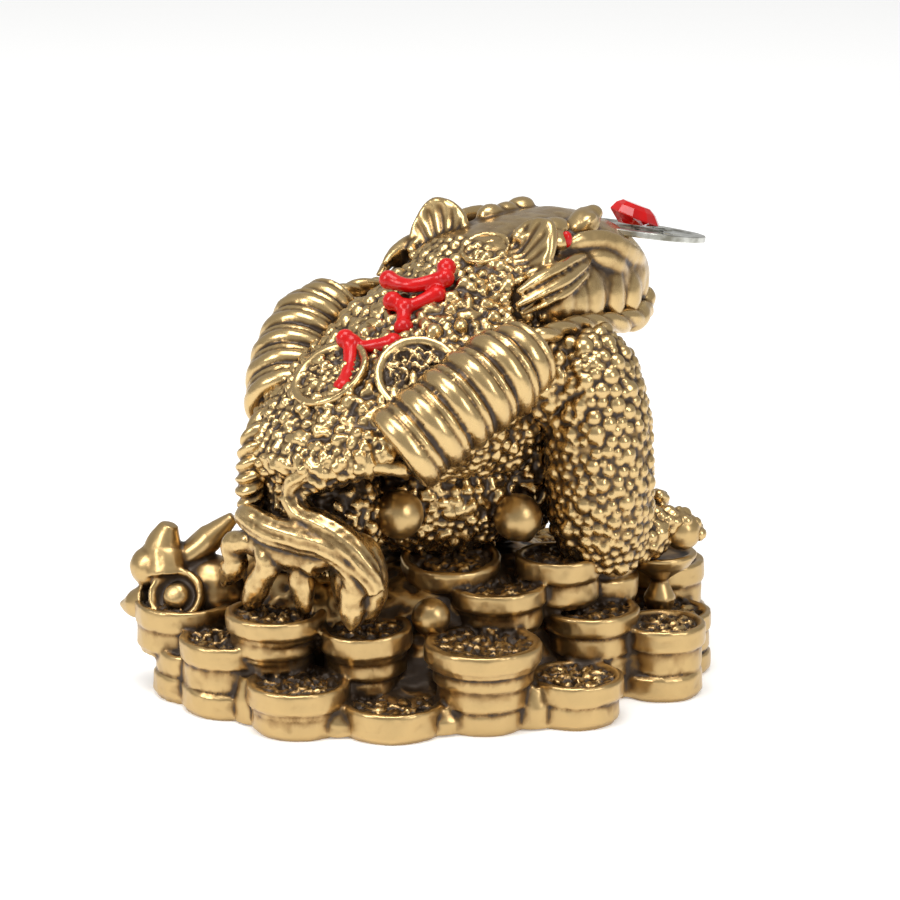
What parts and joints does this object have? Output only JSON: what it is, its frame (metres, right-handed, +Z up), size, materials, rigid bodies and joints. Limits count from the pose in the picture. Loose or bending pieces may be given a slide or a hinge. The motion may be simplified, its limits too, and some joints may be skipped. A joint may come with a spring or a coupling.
{
  "type": "money toad figure",
  "caption": "Cast figure of a toad crouched on a heap of round coins, with strings of coins on its back and a loose holed coin with a red gem in its mouth",
  "frame": {"origin": "on the flat underside of the heap, in the middle of the heap's greatest width and length", "axes": "+Z up, -Y to the front where the toad looks and its coin points, +X to the toad's left"},
  "size_m": [0.0625, 0.0786, 0.0592],
  "materials": {
    "antique_gold": "satin",
    "pale_metal": "satin",
    "red_gem": "gloss"
  },
  "bodies": {
    "root": {"toad_on_coin_heap": "antique_gold", "mouth_coin": "pale_metal", "coin_gem": "red_gem"}
  },
  "joints": []
}
